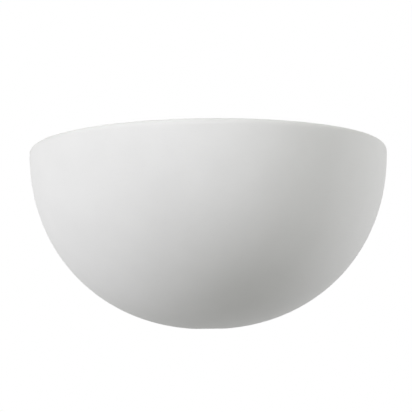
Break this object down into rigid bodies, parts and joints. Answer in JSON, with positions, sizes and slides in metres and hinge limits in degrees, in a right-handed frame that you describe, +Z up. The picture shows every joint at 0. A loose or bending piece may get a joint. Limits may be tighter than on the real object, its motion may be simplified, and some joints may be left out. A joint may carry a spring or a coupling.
{
  "type": "uplighter wall sconce",
  "caption": "Half-bowl uplighter wall light in matte white ceramic, open at the top, held by thumb screws on a folded steel bracket that carries a tilted screw-cap lamp.",
  "frame": {"origin": "on the wall plane, midway between the bracket's two fixing slots", "axes": "+Y into the wall, +X along the wall to the viewer's right, +Z up"},
  "size_m": [0.31, 0.155, 0.156],
  "materials": {
    "bisque": "matte, unglazed",
    "powder_coat": "white powder coat, fine texture",
    "zinc": "bright zinc plate",
    "nickel": "nickel plate, knurled",
    "brass": "plain",
    "tinned_copper": "tin plate",
    "grommet_rubber": "matte",
    "block_plastic": "milky, slightly translucent",
    "nylon": "natural",
    "red_fibre": "vulcanised fibre",
    "brown_sleeve": "satin sleeve",
    "blue_sleeve": "satin sleeve",
    "earth_sleeve": "satin sleeve, green with a yellow stripe",
    "holder_white": "satin thermoset",
    "steatite": "matte",
    "cap_metal": "rolled thread, satin",
    "black_insulator": "glassy black",
    "lamp_plastic": "satin white",
    "opal_plastic": "opal, satin",
    "led_board": "white solder mask",
    "circuit_board": "green solder mask"
  },
  "bodies": {
    "bracket": {"wall_bracket": "powder_coat", "clinch_nuts": "zinc", "cable_grommet": "grommet_rubber", "terminal_block": "block_plastic", "terminal_tubes": "brass", "terminal_screws": "zinc", "block_screws": "zinc", "block_nuts": "zinc", "earth_screw": "brass", "earth_washer": "zinc", "earth_ring": "tinned_copper", "earth_nut": "zinc", "live_lead": "brown_sleeve", "neutral_lead": "blue_sleeve", "earth_lead": "earth_sleeve", "holder_nipple": "zinc", "nipple_nut": "zinc", "nipple_washer": "zinc", "holder_base": "holder_white", "holder_insert": "steatite", "holder_skirt": "holder_white", "screw_shell": "brass", "centre_contact": "brass", "side_contact": "brass", "holder_screws": "zinc"},
    "bowl": {"ceramic_bowl": "bisque", "fibre_washers": "red_fibre", "retaining_washers": "nylon"},
    "screw_left": {"thumb_screw_left": "nickel"},
    "screw_right": {"thumb_screw_right": "nickel"},
    "lamp": {"lamp_contact": "tinned_copper", "lamp_insulator": "black_insulator", "lamp_cap": "cap_metal", "lamp_housing": "lamp_plastic", "lamp_globe": "opal_plastic", "led_board": "led_board", "driver_board": "circuit_board"}
  },
  "joints": [
    {"name": "bowl_pull_off", "type": "slide", "parent": "bracket", "child": "bowl", "axis": [0, -1, 0], "range_m": [0, 0.17]},
    {"name": "screw_left_turn", "type": "hinge", "parent": "bowl", "child": "screw_left", "pos_m": [-0.116, -0.012, 0], "axis": [0, -1, 0], "continuous": true},
    {"name": "screw_right_turn", "type": "hinge", "parent": "bowl", "child": "screw_right", "pos_m": [0.116, -0.012, 0], "axis": [0, -1, 0], "continuous": true},
    {"name": "lamp_unscrew", "type": "slide", "parent": "bracket", "child": "lamp", "axis": [0, -0.5, 0.866], "range_m": [0, 0.06]}
  ]
}
